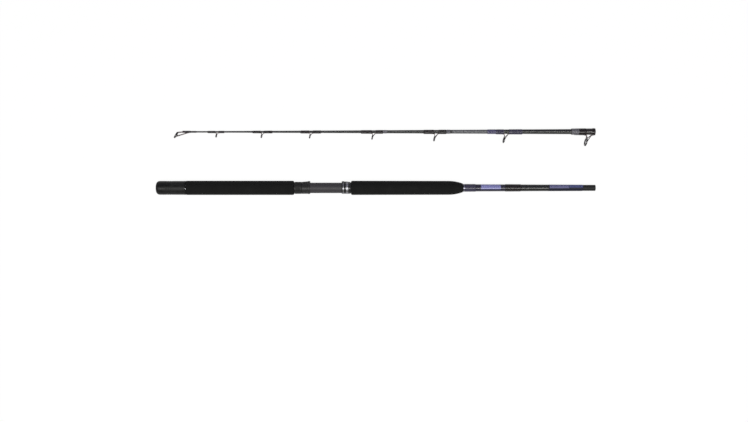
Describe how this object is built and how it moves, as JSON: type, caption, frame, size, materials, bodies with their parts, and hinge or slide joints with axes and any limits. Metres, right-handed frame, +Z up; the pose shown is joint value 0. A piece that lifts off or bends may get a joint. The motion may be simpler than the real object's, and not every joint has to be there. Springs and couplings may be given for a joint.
{
  "type": "fishing rod",
  "caption": "Two-piece heavy fishing rod, taken down: foam grips, screw-locking reel seat, capped gimbal butt, and a tapered tip section with braced ring guides.",
  "frame": {"origin": "middle of the bounding box's base, on the surface that both sections lie on", "axes": "+X along both sections towards the two ferrule ends, the butt cap at -X; +Y from the butt section to the tip section; +Z up from the surface they lie on"},
  "size_m": [1.022, 0.1556, 0.033],
  "materials": {
    "blank": "gloss clear coat over carbon",
    "gimbal_alloy": "satin anodised",
    "cap_rubber": "satin rubber",
    "grip_foam": "matte foam",
    "seat_grey": "anodised grey, satin",
    "nut_black": "anodised black, satin",
    "hood_dark": "dark plated, gloss",
    "cushion": "matte",
    "bright_band": "polished",
    "arbor": "matte",
    "check_ring": "anodised dark, gloss",
    "thread_violet": "thread under clear resin",
    "thread_black": "thread under clear resin",
    "thread_trim": "metallic thread under clear resin",
    "guide_frame": "dark chrome",
    "guide_ceramic": "polished"
  },
  "bodies": {
    "butt_section": {"butt_blank": "blank", "gimbal": "gimbal_alloy", "rear_grip": "grip_foam", "foregrip": "grip_foam", "seat_barrel": "seat_grey", "seat_arbors": "arbor", "fixed_hood": "hood_dark", "fixed_hood_cushion": "cushion", "fixed_hood_bands": "bright_band", "winding_check": "check_ring", "foregrip_winding": "thread_violet", "label_winding": "thread_black"},
    "sliding_hood": {"sliding_hood": "hood_dark", "sliding_hood_cushion": "cushion"},
    "lock_nut": {"lock_nut": "nut_black"},
    "butt_cap": {"butt_cap": "cap_rubber"},
    "tip_section": {"tip_blank": "blank", "ferrule_sleeve": "blank", "trim_windings": "thread_trim", "guide_1_frame": "guide_frame", "guide_1_ring": "guide_ceramic", "guide_1_wraps": "thread_black", "guide_2_frame": "guide_frame", "guide_2_ring": "guide_ceramic", "guide_2_wraps": "thread_black", "guide_3_frame": "guide_frame", "guide_3_ring": "guide_ceramic", "guide_3_wraps": "thread_black", "guide_4_frame": "guide_frame", "guide_4_ring": "guide_ceramic", "guide_4_wraps": "thread_black", "guide_5_frame": "guide_frame", "guide_5_ring": "guide_ceramic", "guide_5_wraps": "thread_black", "guide_6_frame": "guide_frame", "guide_6_ring": "guide_ceramic", "guide_6_wraps": "thread_black", "guide_7_frame": "guide_frame", "guide_7_ring": "guide_ceramic", "guide_7_wraps": "thread_black", "tip_top_frame": "guide_frame", "tip_top_ring": "guide_ceramic", "tip_top_winding": "thread_black"}
  },
  "joints": [
    {"name": "hood_slide", "type": "slide", "parent": "butt_section", "child": "sliding_hood", "axis": [1, 0, 0], "range_m": [0, 0.02]},
    {"name": "lock_nut_turn", "type": "hinge", "parent": "sliding_hood", "child": "lock_nut", "pos_m": [-0.18075, -0.06135, 0.0165], "axis": [1, 0, 0], "range_deg": [0, 2880]},
    {"name": "cap_pull", "type": "slide", "parent": "butt_section", "child": "butt_cap", "axis": [-1, 0, 0], "range_m": [0, 0.075]},
    {"name": "tip_swing", "type": "hinge", "parent": "butt_section", "child": "tip_section", "pos_m": [0.512, 0.00415, 0.0165], "axis": [0.0032, 0, -1], "range_deg": [0, 180]}
  ],
  "couplings": [
    {"joint": "hood_slide", "follows": "lock_nut_turn", "m_per_rad": 0.00039789}
  ]
}
